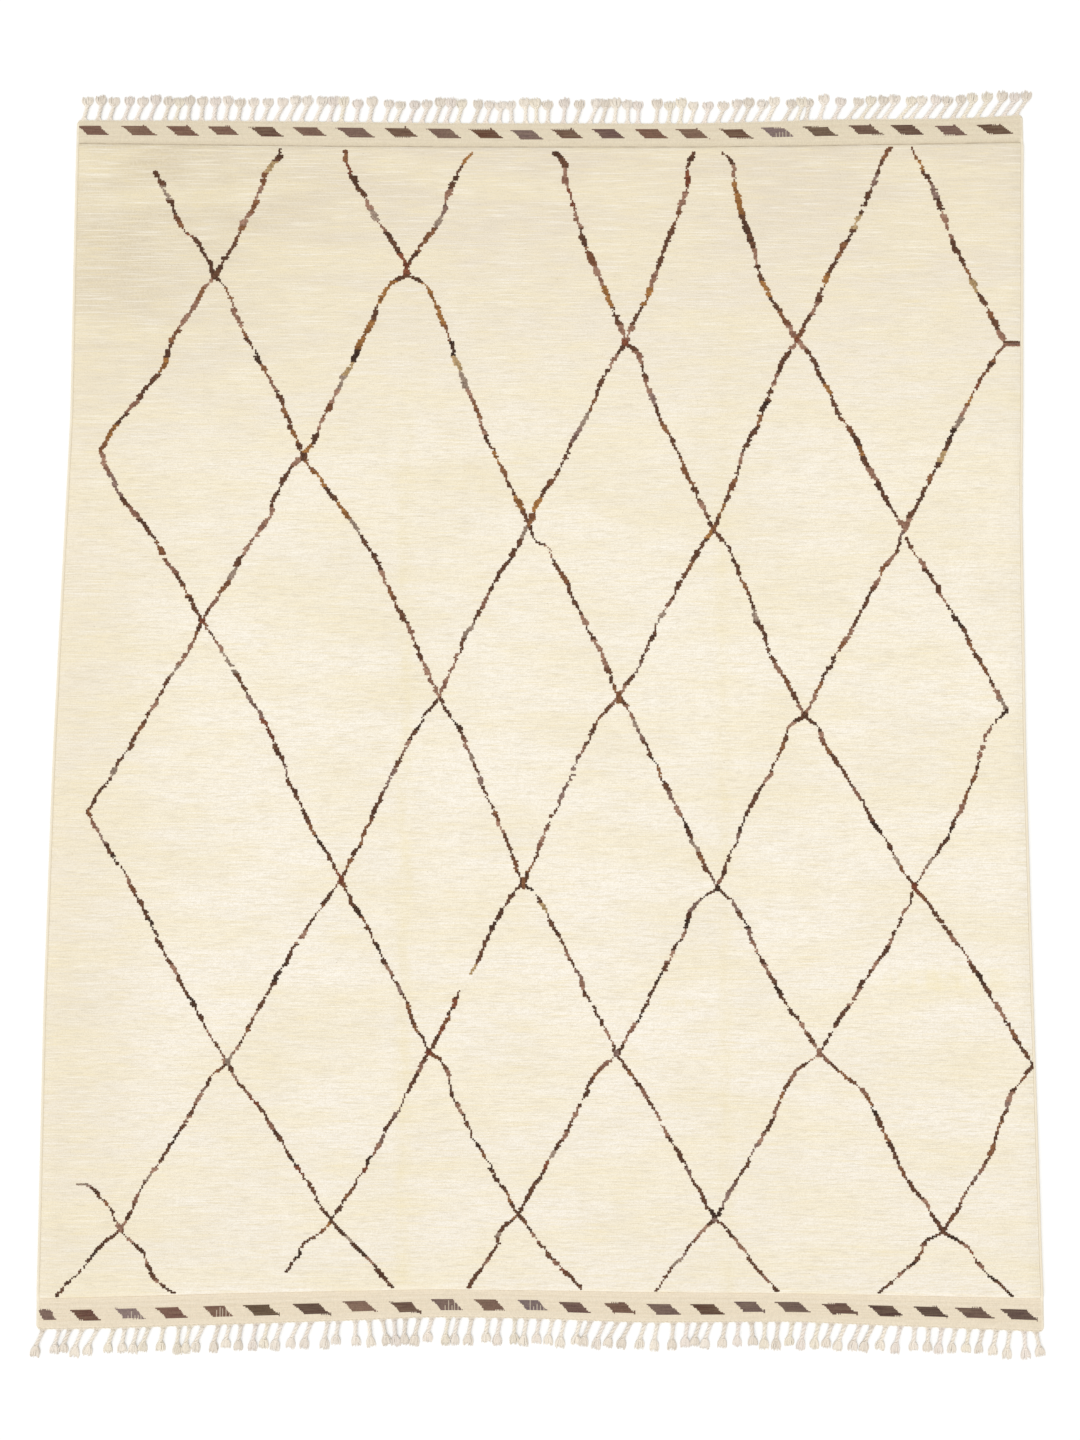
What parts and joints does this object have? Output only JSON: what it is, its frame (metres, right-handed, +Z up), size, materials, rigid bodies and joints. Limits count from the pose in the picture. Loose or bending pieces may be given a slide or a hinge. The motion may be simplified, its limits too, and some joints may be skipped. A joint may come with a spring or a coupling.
{
  "type": "hand-knotted afghan rug",
  "caption": "Hand-knotted ivory wool rug with a brown diamond lattice, a flat-woven band and a fringe of knotted tassels at both short ends; it lies flat on a floor.",
  "frame": {"origin": "on the floor under the middle of the whole rug, fringe included", "axes": "+X across the rug to the right, +Y along its length to the far end, +Z up from the underside"},
  "size_m": [2.505, 3.1864, 0.0104],
  "materials": {
    "rug_wool": "low cut wool pile, ivory with brown lines",
    "fringe_yarn": "twisted undyed wool yarn"
  },
  "bodies": {
    "root": {"rug": "rug_wool", "far_fringe": "fringe_yarn", "near_fringe": "fringe_yarn"}
  },
  "joints": []
}
